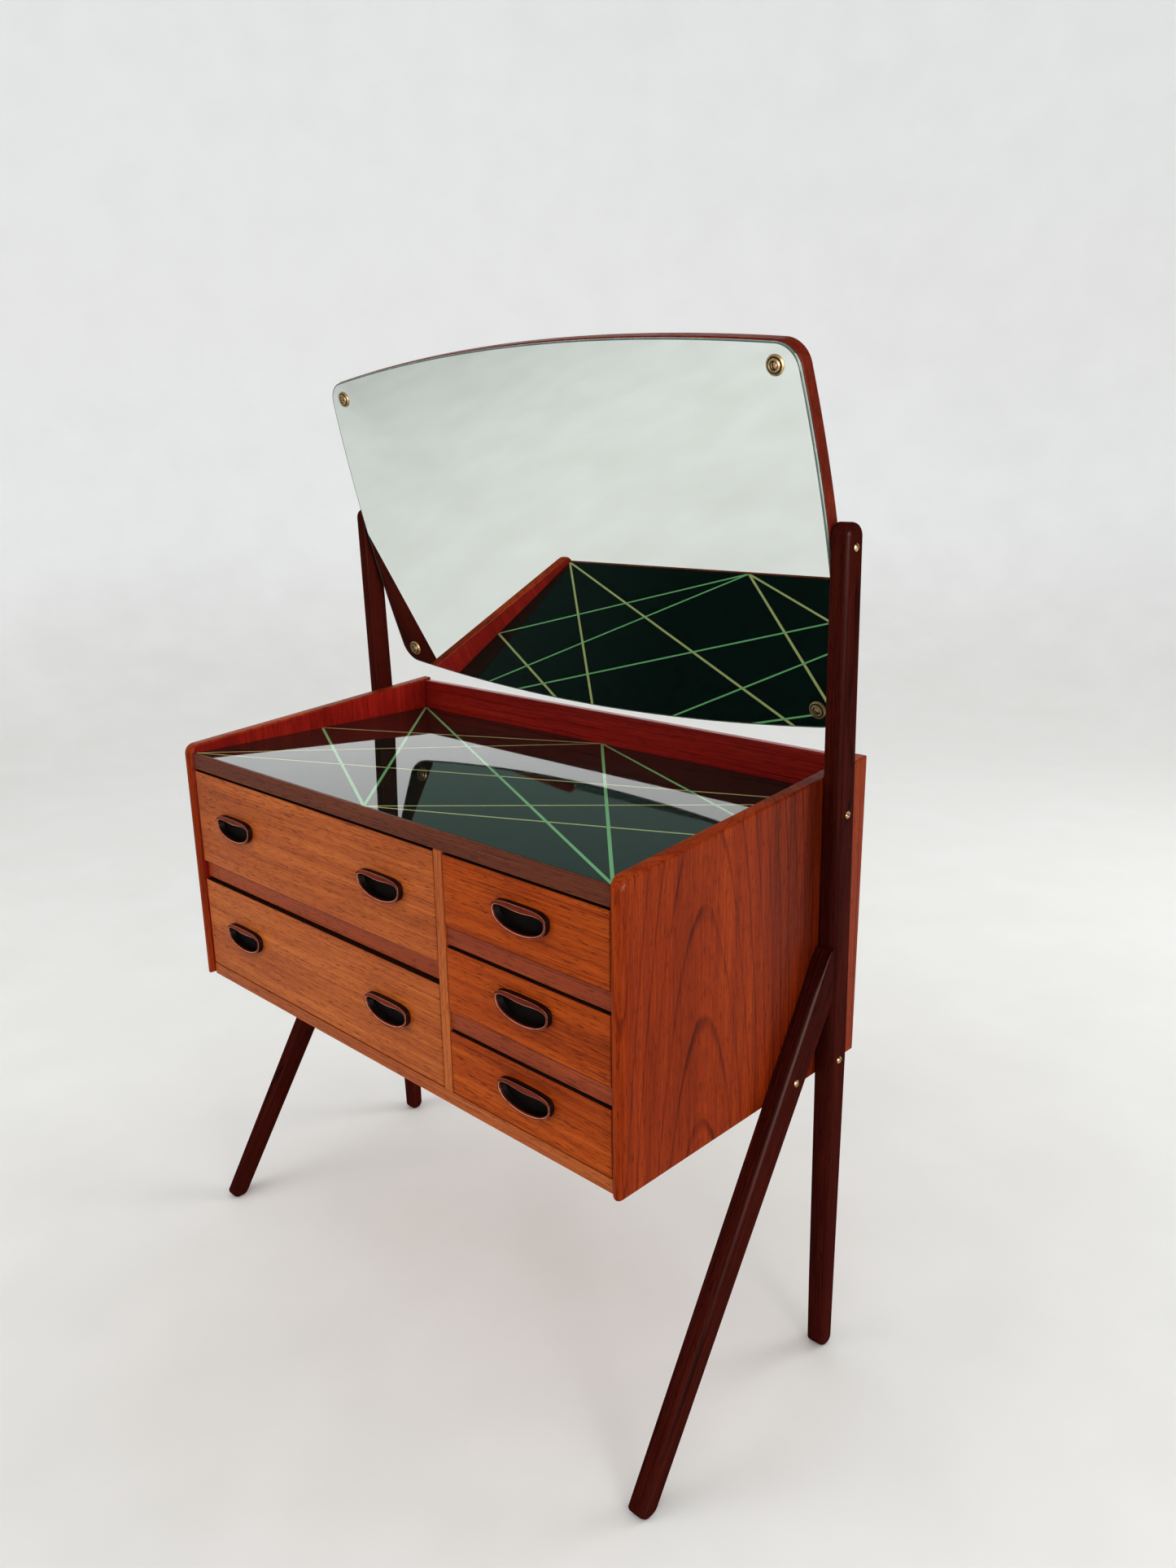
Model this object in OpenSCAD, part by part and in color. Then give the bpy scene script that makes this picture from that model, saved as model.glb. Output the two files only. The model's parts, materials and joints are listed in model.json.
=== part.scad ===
// Vanity table with a tilting mirror: a five-drawer cabinet carried between two posts
// that run from the floor to the mirror pivots, each braced by a raked front leg.
// Millimetres. +X is to the sitter's right, -Y is the drawer side, +Z is up, floor at z = 0.

/* [Cabinet] */
// Width over the side panels
cabinet_w = 800; // [700:1:900]
// Depth of the side panels
cabinet_d = 418; // [380:1:460]
// Height of the underside above the floor
cabinet_z = 380; // [330:1:430]
// Height of the side panels at the back
side_back_h = 368; // [362:1:400]
// Height of the side panels at the front
side_front_h = 333; // [330:1:340]
// Thickness of the side panels
side_t = 18; // [16:1:22]
// Thickness of the bottom board
bottom_t = 16; // [12:1:16]
// Thickness of the board under the glass
top_t = 16; // [12:1:18]
// Height of the dressing surface (top of the glass) above the underside
surface_h = 322; // [322:0.5:324]
// Thickness of the glass top
glass_t = 5; // [4:0.5:6]
// Thickness of the upright between the drawer columns
divider_t = 14; // [12:1:16]
// Centre of that upright
divider_x = 133; // [110:1:150]
// Height of the rail behind the glass, above the underside
gallery_h = 365; // [350:1:366]
// Thickness of the rail behind the glass
gallery_t = 13; // [10:1:16]
// Thickness of the back board
back_t = 6; // [4:1:8]

/* [Drawers] */
// Set-back of the drawer fronts from the side panels' front edges
front_y = 5; // [3:0.5:8]
// Thickness of the drawer fronts
front_t = 18; // [18:1:20]
// Gap round a drawer front
front_gap = 1; // [0.8:0.1:1.5]
// Height of the wide lower front
wide_lower_h = 125.5; // [110:0.5:126]
// Height of the wide upper front
wide_upper_h = 128; // [110:0.5:129]
// Height of the narrow lower front
narrow_lower_h = 75; // [70:0.5:75.5]
// Height of the narrow middle front
narrow_middle_h = 75; // [70:0.5:75.5]
// Height of the narrow upper front
narrow_upper_h = 81; // [70:0.5:82]
// Length of the drawer boxes behind their fronts
box_len = 360; // [300:1:370]
// Thickness of the drawer sides and backs
box_t = 10; // [8:1:12]
// Thickness of the drawer bottoms
tray_t = 5; // [4:0.5:6]
// Set-back of the rail in the wide column from the drawer fronts
wide_rail_set = 5.5; // [3:0.5:8]
// Set-back of the rails in the narrow column
narrow_rail_set = 2.5; // [1.5:0.5:5]
// Depth of the rails, front to back
rail_d = 20; // [16:1:26]

/* [Handles] */
// Width of a carved pull
pull_w = 79; // [60:1:84]
// How far a pull stands proud of its drawer front
pull_proud = 7; // [4:0.5:10]
// How deep a pull is let into its drawer front
pull_in = 14; // [12:0.5:15]
// Wall of a pull round its finger recess
pull_wall = 5; // [4:0.5:7]

/* [Posts and legs] */
// Thickness of the posts and front legs
post_t = 21.5; // [19:0.5:24]
// Height of the mirror pivots
pivot_z = 985.7; // [980:0.1:990]
// Height of the posts
post_h = 1011; // [1008:1:1016]

/* [Mirror] */
// Half the width of the mirror board
board_hw = 398.5; // [380:0.5:398.5]
// Half the height of the mirror board
board_hh = 232.4; // [200:0.2:232.4]
// Thickness of the mirror board
board_t = 18; // [16:0.5:20]
// Thickness of the mirror glass
mirror_t = 4; // [3:0.5:5]
// Reveal of the board round the mirror glass
reveal = 1; // [0.5:0.5:5]
// Lean of the mirror towards the sitter
mirror_tilt = 15.7; // [0:0.1:20]
// Distance from a rosette to the mirror's middle, across and up
rosette_xz = [360, 186.5]; // [150:0.5:365]

/* [Hidden] */
$fn = 48;
fit = 0.1;                                   // gap between glued or pressed pieces
slide_gap = 0.4;                             // gap under and beside a sliding drawer
inner_x = cabinet_w / 2 - side_t;            // inner faces of the side panels
floor_z = cabinet_z + bottom_t;              // top of the bottom board
glass_z = cabinet_z + surface_h - glass_t;   // underside of the glass
top_z = glass_z - top_t;                     // underside of the board below the glass
gallery_y = cabinet_d - gallery_t;           // front face of the rail behind the glass
back_y = gallery_y + 1;                      // front face of the back board
lip_t = 4;                                   // lipping in front of the glass
lip_over = 0.5;                              // it stands this much above the glass
div_l = divider_x - divider_t / 2;
div_r = divider_x + divider_t / 2;
y_mid = (front_y - pull_proud + cabinet_d) / 2;   // the origin is under the middle of the box

// Gaps above and below the rails between drawers
drop_gap = 2.5;      // from a front up to the rail over it
run_gap = 1.5;       // from a rail's top up to the front over it

// Drawers: left side, right side, bottom of the front, height of the front
z_low = floor_z + run_gap;
z_wide_up = top_z - 3 - wide_upper_h;
z_narrow_up = top_z - 3 - narrow_upper_h;
z_narrow_mid = z_low + (z_narrow_up - z_low - narrow_lower_h - narrow_middle_h) / 2 + narrow_lower_h;
WIDE_UPPER = [-inner_x, div_l, z_wide_up, wide_upper_h];
WIDE_LOWER = [-inner_x, div_l, z_low, wide_lower_h];
NARROW_UPPER = [div_r, inner_x, z_narrow_up, narrow_upper_h];
NARROW_MIDDLE = [div_r, inner_x, z_narrow_mid, narrow_middle_h];
NARROW_LOWER = [div_r, inner_x, z_low, narrow_lower_h];

// Pulls: centres along X in each column, and how far above the middle of the front
WIDE_PULLS = [-283.5, 30.5];
NARROW_PULLS = [263];
WIDE_LIFT = 4;
UPPER_LIFT = 4;
MIDDLE_LIFT = 8;
LOWER_LIFT = 7;
box_front = front_y + front_t;               // drawer boxes start behind the fronts

// Posts and legs, in side view (y back, z up)
post_x = cabinet_w / 2;                      // their inner faces lie on the side panels
tip_r = 9;
post_top_r = 14;
pivot_y = 336;
post_screws_yz = [[345, 699], [352.5, 399]];
leg_screw_yz = [264, 406];
knee_z = 407;                                // the post is widest here
post_front = [[344, tip_r], [341, 100], [333.5, knee_z], [320.5, post_h - post_top_r]];
post_back = [[348.5, post_h - post_top_r], [366, knee_z], [365.5, tip_r]];
screw_r = 2;
pivot_r = 2.5;
head_r = 4.3;
head_h = 2;

// ---- helpers ----

// A box from its low corner to its high corner
module block(lo, hi) { translate(lo) cube(hi - lo); }

// Moves the design frame, whose y = 0 is the side panels' front edge, to the part's frame
module placed() { translate([0, -y_mid, 0]) children(); }

// A side-view outline (y, z) drawn as a plate from x0 to x1
module side_plate(x0, x1) { translate([x0, 0, 0]) rotate([90, 0, 90]) linear_extrude(x1 - x0) children(); }

// A front-view outline (x, z) drawn as a plate from y0 back to y1
module front_plate(y0, y1) { translate([0, y1, 0]) rotate([90, 0, 0]) linear_extrude(y1 - y0) children(); }

// A rod along X
module rod_x(x0, x1, y, z, r) {
    translate([min(x0, x1), y, z]) rotate([0, 90, 0]) cylinder(h = abs(x1 - x0), r = r);
}

function arc(c, r, a0, a1, n) =
    [for (i = [0 : n]) let (a = a0 + (a1 - a0) * i / n) [c[0] + r * cos(a), c[1] + r * sin(a)]];
function line_y(p, q, z) = p[0] + (q[0] - p[0]) * (z - p[1]) / (q[1] - p[1]);

// Outline of a pull: nearly straight along the top, with a deep curve below
function pull_outline(w, up, down, dip) =
    [for (i = [0 : 47]) let (a = 7.5 * i, s = sin(a), c = cos(a))
        [w / 2 * c, s >= 0 ? up * pow(s, 0.5) - dip * pow(s, 6) : -down * pow(-s, 0.9)]];

// Outline of the mirror: four flat arcs with rounded corners, about its middle
function corner_centre(hw, hh, rs, rt, rc) =
    let (c1 = [0, hh - rt], r1 = rt - rc, c2 = [hw - rs, 0], r2 = rs - rc,
         dx = c2[0] - c1[0], dz = c2[1] - c1[1], d = norm([dx, dz]),
         a = (r1 * r1 - r2 * r2 + d * d) / (2 * d), h = sqrt(r1 * r1 - a * a))
    [c1[0] + (a * dx + h * dz) / d, c1[1] + (a * dz - h * dx) / d];
function quarter(hw, hh, rs, rt, rc) =
    let (p = corner_centre(hw, hh, rs, rt, rc),
         as = atan2(p[1], p[0] - (hw - rs)), at = atan2(p[1] - (hh - rt), p[0]))
    concat(arc([hw - rs, 0], rs, 0, as, 6), arc(p, rc, as + 10, at - 6, 6),
           arc([0, hh - rt], rt, at, 90, 8));
function screen(hw, hh, rs = 1800, rt = 2850, rc = 30) =
    let (q = quarter(hw, hh, rs, rt, rc), n = len(q))
    concat(q, [for (i = [n - 2 : -1 : 0]) [-q[i][0], q[i][1]]],
           [for (i = [1 : n - 1]) [-q[i][0], -q[i][1]]],
           [for (i = [n - 2 : -1 : 1]) [q[i][0], -q[i][1]]]);

// A slotted screw whose head sits on the face x = seat and points towards side
module slotted_screw(side, seat, y, z, r, length) {
    difference() {
        union() {
            rod_x(side * seat, side * (seat - length), y, z, r);
            translate([side * seat, y, z]) rotate([0, side * 90, 0])
                cylinder(h = head_h, r1 = head_r, r2 = head_r - 1.6);
        }
        translate([side * (seat + head_h), y, z]) rotate([25, 0, 0])
            cube([1.8, 1, 3 * head_r], center = true);
    }
}

// ---- cabinet ----

module side_panel(side) {
    x0 = side > 0 ? inner_x : -cabinet_w / 2;
    top_f = cabinet_z + side_front_h;
    top_b = cabinet_z + side_back_h;
    r = 11;
    placed() difference() {
        side_plate(x0, x0 + side_t)
            polygon(concat([[0, cabinet_z], [cabinet_d, cabinet_z], [cabinet_d, top_b]],
                           arc([r, top_f - r], r, 95, 180, 6)));
        for (s = concat(post_screws_yz, [leg_screw_yz]))
            rod_x(side * (inner_x + 4), side * (cabinet_w / 2 + 1), s[0], s[1], screw_r + fit / 2);
    }
}
module left_side_panel() { color("peru") side_panel(-1); }
module right_side_panel() { color("peru") side_panel(1); }
module bottom_board() {
    color("chocolate") placed() block([-inner_x, front_y, cabinet_z], [inner_x, cabinet_d, floor_z]);
}
module column_divider() {
    color("peru") placed() block([div_l, front_y, floor_z], [div_r, back_y, top_z]);
}
module top_board() {
    color("sienna") placed() block([-inner_x, front_y + lip_t, top_z], [inner_x, gallery_y, glass_z]);
}
module top_front_lipping() {
    color("saddlebrown") placed()
        block([-inner_x, front_y, top_z], [inner_x, front_y + lip_t, glass_z + glass_t + lip_over]);
}
module glass_top() {
    color("darkslategray") placed()
        block([-inner_x + 0.5, front_y + lip_t + 0.5, glass_z],
              [inner_x - 0.5, gallery_y - 0.5, glass_z + glass_t]);
}
module gallery_rail() {
    color("brown") placed()
        block([-inner_x, gallery_y, top_z], [inner_x, cabinet_d, cabinet_z + gallery_h]);
}
module back_board() {
    color("tan") placed() block([-inner_x, back_y, floor_z], [inner_x, back_y + back_t, top_z]);
}
module rail(x0, x1, z0, z1, set) {
    placed() block([x0, front_y + set, z0], [x1, front_y + set + rail_d, z1]);
}
module wide_drawer_rail() {
    color("sienna")
        rail(-inner_x, div_l, z_low + wide_lower_h + drop_gap, z_wide_up - run_gap, wide_rail_set);
}
module narrow_drawer_rail_upper() {
    color("sienna")
        rail(div_r, inner_x, z_narrow_mid + narrow_middle_h + drop_gap, z_narrow_up - run_gap,
             narrow_rail_set);
}
module narrow_drawer_rail_lower() {
    color("sienna")
        rail(div_r, inner_x, z_low + narrow_lower_h + drop_gap, z_narrow_mid - run_gap, narrow_rail_set);
}
module runner_pair(d, set) {
    y0 = front_y + set + rail_d;
    z1 = d[2] - run_gap;
    placed() {
        block([d[0], y0, z1 - 12], [d[0] + 16, back_y, z1]);
        block([d[1] - 16, y0, z1 - 12], [d[1], back_y, z1]);
    }
}
module wide_drawer_runners() { color("burlywood") runner_pair(WIDE_UPPER, wide_rail_set); }
module narrow_drawer_runners() {
    color("burlywood") {
        runner_pair(NARROW_UPPER, narrow_rail_set);
        runner_pair(NARROW_MIDDLE, narrow_rail_set);
    }
}

// ---- posts and legs ----

module post(side) {
    x0 = side > 0 ? post_x : -post_x - post_t;
    top_c = [(post_front[3][0] + post_back[0][0]) / 2, post_h - post_top_r];
    placed() difference() {
        side_plate(x0, x0 + post_t)
            polygon(concat(
                arc([post_front[0][0] + tip_r, tip_r], tip_r, 270, 180, 5), [post_front[1], post_front[2]],
                arc(top_c, post_top_r, 180, 0, 14), [post_back[1]],
                arc([post_back[2][0] - tip_r, tip_r], tip_r, 0, -90, 5)));
        rod_x(x0 - 1, x0 + post_t + 1, pivot_y, pivot_z, pivot_r + 0.05);
        for (s = post_screws_yz) rod_x(x0 - 1, x0 + post_t + 1, s[0], s[1], screw_r + fit / 2);
    }
}
module left_post() { color("maroon") post(-1); }
module right_post() { color("maroon") post(1); }

// The front leg rakes forward from the post's front edge down to the floor
module front_leg(side) {
    x0 = side > 0 ? post_x : -post_x - post_t;
    front_line = [[4, tip_r + 0.5], [319.6, 536]];
    back_line = [[30.4, 9.2], [331, 481]];
    join = [for (z = [545, back_line[1][1]]) [line_y(post_front[2], post_front[3], z) - fit, z]];
    placed() difference() {
        side_plate(x0, x0 + post_t)
            polygon(concat(
                arc([front_line[0][0] + tip_r + 0.5, tip_r + 0.5], tip_r + 0.5, 270, 180, 5),
                [front_line[1], [325.5, 543]], join,
                arc([back_line[0][0] - 11, 10], 10, -30, -90, 3)));
        rod_x(x0 - 1, x0 + post_t + 1, leg_screw_yz[0], leg_screw_yz[1], screw_r + fit / 2);
    }
}
module left_front_leg() { color("maroon") front_leg(-1); }
module right_front_leg() { color("maroon") front_leg(1); }
module post_screws() {
    color("gold") placed() for (side = [-1, 1], s = post_screws_yz)
        slotted_screw(side, post_x + post_t, s[0], s[1], screw_r, post_t + side_t - 5);
}
module leg_screws() {
    color("gold") placed() for (side = [-1, 1])
        slotted_screw(side, post_x + post_t, leg_screw_yz[0], leg_screw_yz[1], screw_r, post_t + side_t - 5);
}

// ---- drawers ----

// d is a drawer's column and front; boxes are narrower and lower than their fronts
function box_x0(d) = d[0] + 2;
function box_x1(d) = d[1] - 2;
function box_z0(d) = d[2] - run_gap + slide_gap;
function box_z1(d) = d[2] + d[3] - 14;
function pull_z(d, lift) = d[2] + d[3] / 2 + lift;

module pull_body(x, z, grow = 0) {
    translate([x, 0, z]) front_plate(front_y - pull_proud - grow, front_y + pull_in + grow)
        polygon(pull_outline(pull_w + 2 * grow, 13.5 + grow, 20.5 + grow, 1.2));
}
module drawer_front(d, xs, lift) {
    color("peru") placed() difference() {
        block([d[0] + front_gap, front_y, d[2]], [d[1] - front_gap, front_y + front_t, d[2] + d[3]]);
        for (x = xs) pull_body(x, pull_z(d, lift), fit);
    }
}
module drawer_side(d, right) {
    x0 = right ? box_x1(d) - box_t : box_x0(d);
    color("burlywood") placed() difference() {
        block([x0, box_front, box_z0(d)], [x0 + box_t, box_front + box_len, box_z1(d)]);
        // groove for the bottom
        block([right ? x0 - 1 : x0 + box_t - 4, box_front - 1, box_z0(d) + 7 - fit],
              [right ? x0 + 4 : x0 + box_t + 1, box_front + box_len + 1, box_z0(d) + 7 + tray_t + fit]);
    }
}
module drawer_back(d) {
    color("burlywood") placed()
        block([box_x0(d) + box_t, box_front + box_len - box_t, box_z0(d) + 7 + tray_t + fit],
              [box_x1(d) - box_t, box_front + box_len, box_z1(d) - 6]);
}
module drawer_bottom(d) {
    color("wheat") placed()
        block([box_x0(d) + box_t - 4 + fit, box_front, box_z0(d) + 7],
              [box_x1(d) - box_t + 4 - fit, box_front + box_len, box_z0(d) + 7 + tray_t]);
}
// A carved wooden cup with a raised rim and a blind finger recess
module pull(d, x, lift) {
    z = pull_z(d, lift);
    color("maroon") placed() difference() {
        pull_body(x, z);
        translate([x, 0, z - 0.5]) front_plate(front_y - pull_proud - 1, front_y + pull_in - 3)
            polygon(pull_outline(pull_w - 2 * pull_wall, 13.5 - pull_wall, 20.5 - pull_wall, 2));
    }
}

module wide_upper_front() { drawer_front(WIDE_UPPER, WIDE_PULLS, WIDE_LIFT); }
module wide_upper_left_side() { drawer_side(WIDE_UPPER, false); }
module wide_upper_right_side() { drawer_side(WIDE_UPPER, true); }
module wide_upper_back() { drawer_back(WIDE_UPPER); }
module wide_upper_bottom() { drawer_bottom(WIDE_UPPER); }
module wide_upper_left_pull() { pull(WIDE_UPPER, WIDE_PULLS[0], WIDE_LIFT); }
module wide_upper_right_pull() { pull(WIDE_UPPER, WIDE_PULLS[1], WIDE_LIFT); }
module wide_lower_front() { drawer_front(WIDE_LOWER, WIDE_PULLS, WIDE_LIFT); }
module wide_lower_left_side() { drawer_side(WIDE_LOWER, false); }
module wide_lower_right_side() { drawer_side(WIDE_LOWER, true); }
module wide_lower_back() { drawer_back(WIDE_LOWER); }
module wide_lower_bottom() { drawer_bottom(WIDE_LOWER); }
module wide_lower_left_pull() { pull(WIDE_LOWER, WIDE_PULLS[0], WIDE_LIFT); }
module wide_lower_right_pull() { pull(WIDE_LOWER, WIDE_PULLS[1], WIDE_LIFT); }
module narrow_upper_front() { drawer_front(NARROW_UPPER, NARROW_PULLS, UPPER_LIFT); }
module narrow_upper_left_side() { drawer_side(NARROW_UPPER, false); }
module narrow_upper_right_side() { drawer_side(NARROW_UPPER, true); }
module narrow_upper_back() { drawer_back(NARROW_UPPER); }
module narrow_upper_bottom() { drawer_bottom(NARROW_UPPER); }
module narrow_upper_pull() { pull(NARROW_UPPER, NARROW_PULLS[0], UPPER_LIFT); }
module narrow_middle_front() { drawer_front(NARROW_MIDDLE, NARROW_PULLS, MIDDLE_LIFT); }
module narrow_middle_left_side() { drawer_side(NARROW_MIDDLE, false); }
module narrow_middle_right_side() { drawer_side(NARROW_MIDDLE, true); }
module narrow_middle_back() { drawer_back(NARROW_MIDDLE); }
module narrow_middle_bottom() { drawer_bottom(NARROW_MIDDLE); }
module narrow_middle_pull() { pull(NARROW_MIDDLE, NARROW_PULLS[0], MIDDLE_LIFT); }
module narrow_lower_front() { drawer_front(NARROW_LOWER, NARROW_PULLS, LOWER_LIFT); }
module narrow_lower_left_side() { drawer_side(NARROW_LOWER, false); }
module narrow_lower_right_side() { drawer_side(NARROW_LOWER, true); }
module narrow_lower_back() { drawer_back(NARROW_LOWER); }
module narrow_lower_bottom() { drawer_bottom(NARROW_LOWER); }
module narrow_lower_pull() { pull(NARROW_LOWER, NARROW_PULLS[0], LOWER_LIFT); }

// ---- mirror ----

board_back = 8;                              // back of the board behind the pivot line
board_front = board_back - board_t;
glass_front = board_front - mirror_t;

// The mirror's own frame: the pivot line is X, and the mirror leans towards the sitter
module on_mirror() { placed() translate([0, pivot_y, pivot_z]) rotate([mirror_tilt, 0, 0]) children(); }
// The four rosette places, in that frame
module at_rosettes() {
    for (sx = [-1, 1], sz = [-1, 1])
        translate([sx * rosette_xz[0], glass_front, sz * rosette_xz[1]]) rotate([90, 0, 0]) children();
}
module mirror_board() {
    color("sienna") on_mirror() difference() {
        front_plate(board_front, board_back) polygon(screen(board_hw, board_hh));
        for (side = [-1, 1]) rod_x(side * (board_hw - 22), side * (board_hw + 1), 0, 0, pivot_r + fit / 2);
        at_rosettes() translate([0, 0, -mirror_t - 12]) cylinder(h = 12 + mirror_t, r = 1.6);
    }
}
module mirror_glass() {
    color("lightcyan") on_mirror() difference() {
        front_plate(glass_front, board_front - 0.02) polygon(screen(board_hw - reveal, board_hh - reveal));
        at_rosettes() translate([0, 0, -mirror_t - 1]) cylinder(h = mirror_t + 2, r = 3);
    }
}
module mirror_rosettes() {
    color("goldenrod") on_mirror() at_rosettes() difference() {
        union() {
            cylinder(h = 2, r1 = 10.5, r2 = 9.5);
            translate([0, 0, 2]) cylinder(h = 1.6, r1 = 7.5, r2 = 6);
        }
        translate([0, 0, -1]) cylinder(h = 6, r = 1.7);
        translate([0, 0, 2.4]) cylinder(h = 2, r = 4.3);
    }
}
module mirror_screws() {
    color("gold") on_mirror() at_rosettes() difference() {
        union() {
            translate([0, 0, -mirror_t - 11]) cylinder(h = mirror_t + 13.4, r = 1.5);
            translate([0, 0, 2.4]) cylinder(h = 2, r1 = 4, r2 = 2.4);
        }
        translate([0, 0, 4.4]) rotate([0, 0, 35]) cube([10, 0.9, 1.6], center = true);
    }
}
// Screws that turn in the posts and hold the board by its edges
module pivot_screws() {
    color("gold") placed() for (side = [-1, 1])
        slotted_screw(side, post_x + post_t + 0.35, pivot_y, pivot_z, pivot_r, post_t + 2.5 + 20);
}
module pivot_washers() {
    color("gold") placed() for (side = [-1, 1]) difference() {
        rod_x(side * (board_hw + 0.1), side * (post_x - 0.35), pivot_y, pivot_z, 7);
        rod_x(side * board_hw, side * post_x, pivot_y, pivot_z, pivot_r + fit / 2);
    }
}

left_side_panel();
right_side_panel();
bottom_board();
column_divider();
top_board();
top_front_lipping();
glass_top();
gallery_rail();
back_board();
wide_drawer_rail();
narrow_drawer_rail_upper();
narrow_drawer_rail_lower();
wide_drawer_runners();
narrow_drawer_runners();
left_post();
right_post();
left_front_leg();
right_front_leg();
post_screws();
leg_screws();
wide_upper_front();
wide_upper_left_side();
wide_upper_right_side();
wide_upper_back();
wide_upper_bottom();
wide_upper_left_pull();
wide_upper_right_pull();
wide_lower_front();
wide_lower_left_side();
wide_lower_right_side();
wide_lower_back();
wide_lower_bottom();
wide_lower_left_pull();
wide_lower_right_pull();
narrow_upper_front();
narrow_upper_left_side();
narrow_upper_right_side();
narrow_upper_back();
narrow_upper_bottom();
narrow_upper_pull();
narrow_middle_front();
narrow_middle_left_side();
narrow_middle_right_side();
narrow_middle_back();
narrow_middle_bottom();
narrow_middle_pull();
narrow_lower_front();
narrow_lower_left_side();
narrow_lower_right_side();
narrow_lower_back();
narrow_lower_bottom();
narrow_lower_pull();
mirror_board();
mirror_glass();
mirror_rosettes();
mirror_screws();
pivot_screws();
pivot_washers();
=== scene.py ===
"""Vanity table with a tilting mirror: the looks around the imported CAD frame.

Metres, Z up, the drawers open towards -Y. Each piece stands for a CAD node and rides on that node's body.
"""

import json
import math

import bmesh
import bpy
from mathutils import Matrix, Vector


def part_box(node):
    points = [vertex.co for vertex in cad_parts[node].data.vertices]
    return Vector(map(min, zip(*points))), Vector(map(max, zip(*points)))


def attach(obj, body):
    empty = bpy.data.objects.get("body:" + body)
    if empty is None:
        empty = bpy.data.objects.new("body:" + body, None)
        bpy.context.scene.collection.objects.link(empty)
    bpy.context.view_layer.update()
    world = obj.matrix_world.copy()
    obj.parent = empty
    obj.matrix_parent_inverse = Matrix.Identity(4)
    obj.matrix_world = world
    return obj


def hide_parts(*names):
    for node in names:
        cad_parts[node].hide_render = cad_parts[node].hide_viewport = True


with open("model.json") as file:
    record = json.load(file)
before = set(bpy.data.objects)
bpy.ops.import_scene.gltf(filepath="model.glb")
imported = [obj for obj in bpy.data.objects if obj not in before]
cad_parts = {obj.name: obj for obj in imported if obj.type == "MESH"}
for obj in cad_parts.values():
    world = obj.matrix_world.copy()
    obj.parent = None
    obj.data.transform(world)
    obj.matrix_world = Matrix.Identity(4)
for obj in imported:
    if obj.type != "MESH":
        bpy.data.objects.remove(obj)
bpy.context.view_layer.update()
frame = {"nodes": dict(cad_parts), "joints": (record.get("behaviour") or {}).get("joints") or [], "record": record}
MM = 0.001

# The camera of the photograph: from the right front, above the dressing surface
CAMERA_AT = (1.0495, -0.9253, 1.0725)
CAMERA_YAW = math.radians(43.83)  # left of +Y
CAMERA_PITCH = math.radians(15.56)  # below level
CAMERA_ROLL = math.radians(-0.8)
CAMERA_LENS = 26.5

PIVOT = Vector(next(j["pos_m"] for j in frame["joints"] if j["name"] == "mirror_tilt"))
MIRROR_TILT = math.radians(15.7)  # how far the mirror leans back at rest


# ---------------------------------------------------------------- materials


def linear(rgb):
    """A 0-255 sRGB colour as the linear RGBA that shaders take."""
    def channel(c):
        c /= 255
        return c / 12.92 if c <= 0.04045 else ((c + 0.055) / 1.055) ** 2.4
    return (*[channel(c) for c in rgb], 1.0)


class Nodes:
    """A node tree and short calls for building it."""

    def __init__(self, tree):
        self.tree = tree

    def node(self, kind, inputs=(), **props):
        n = self.tree.nodes.new("ShaderNode" + kind)
        for key, value in props.items():
            setattr(n, key, value)
        for key, value in dict(inputs).items():
            self.feed(n.inputs[key], value)
        return n

    def feed(self, socket, value):
        if isinstance(value, bpy.types.NodeSocket):
            self.tree.links.new(value, socket)
        else:
            socket.default_value = value

    def math(self, operation, a, b=0.0, c=0.0):
        return self.node("Math", {0: a, 1: b, 2: c}, operation=operation).outputs[0]


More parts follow.
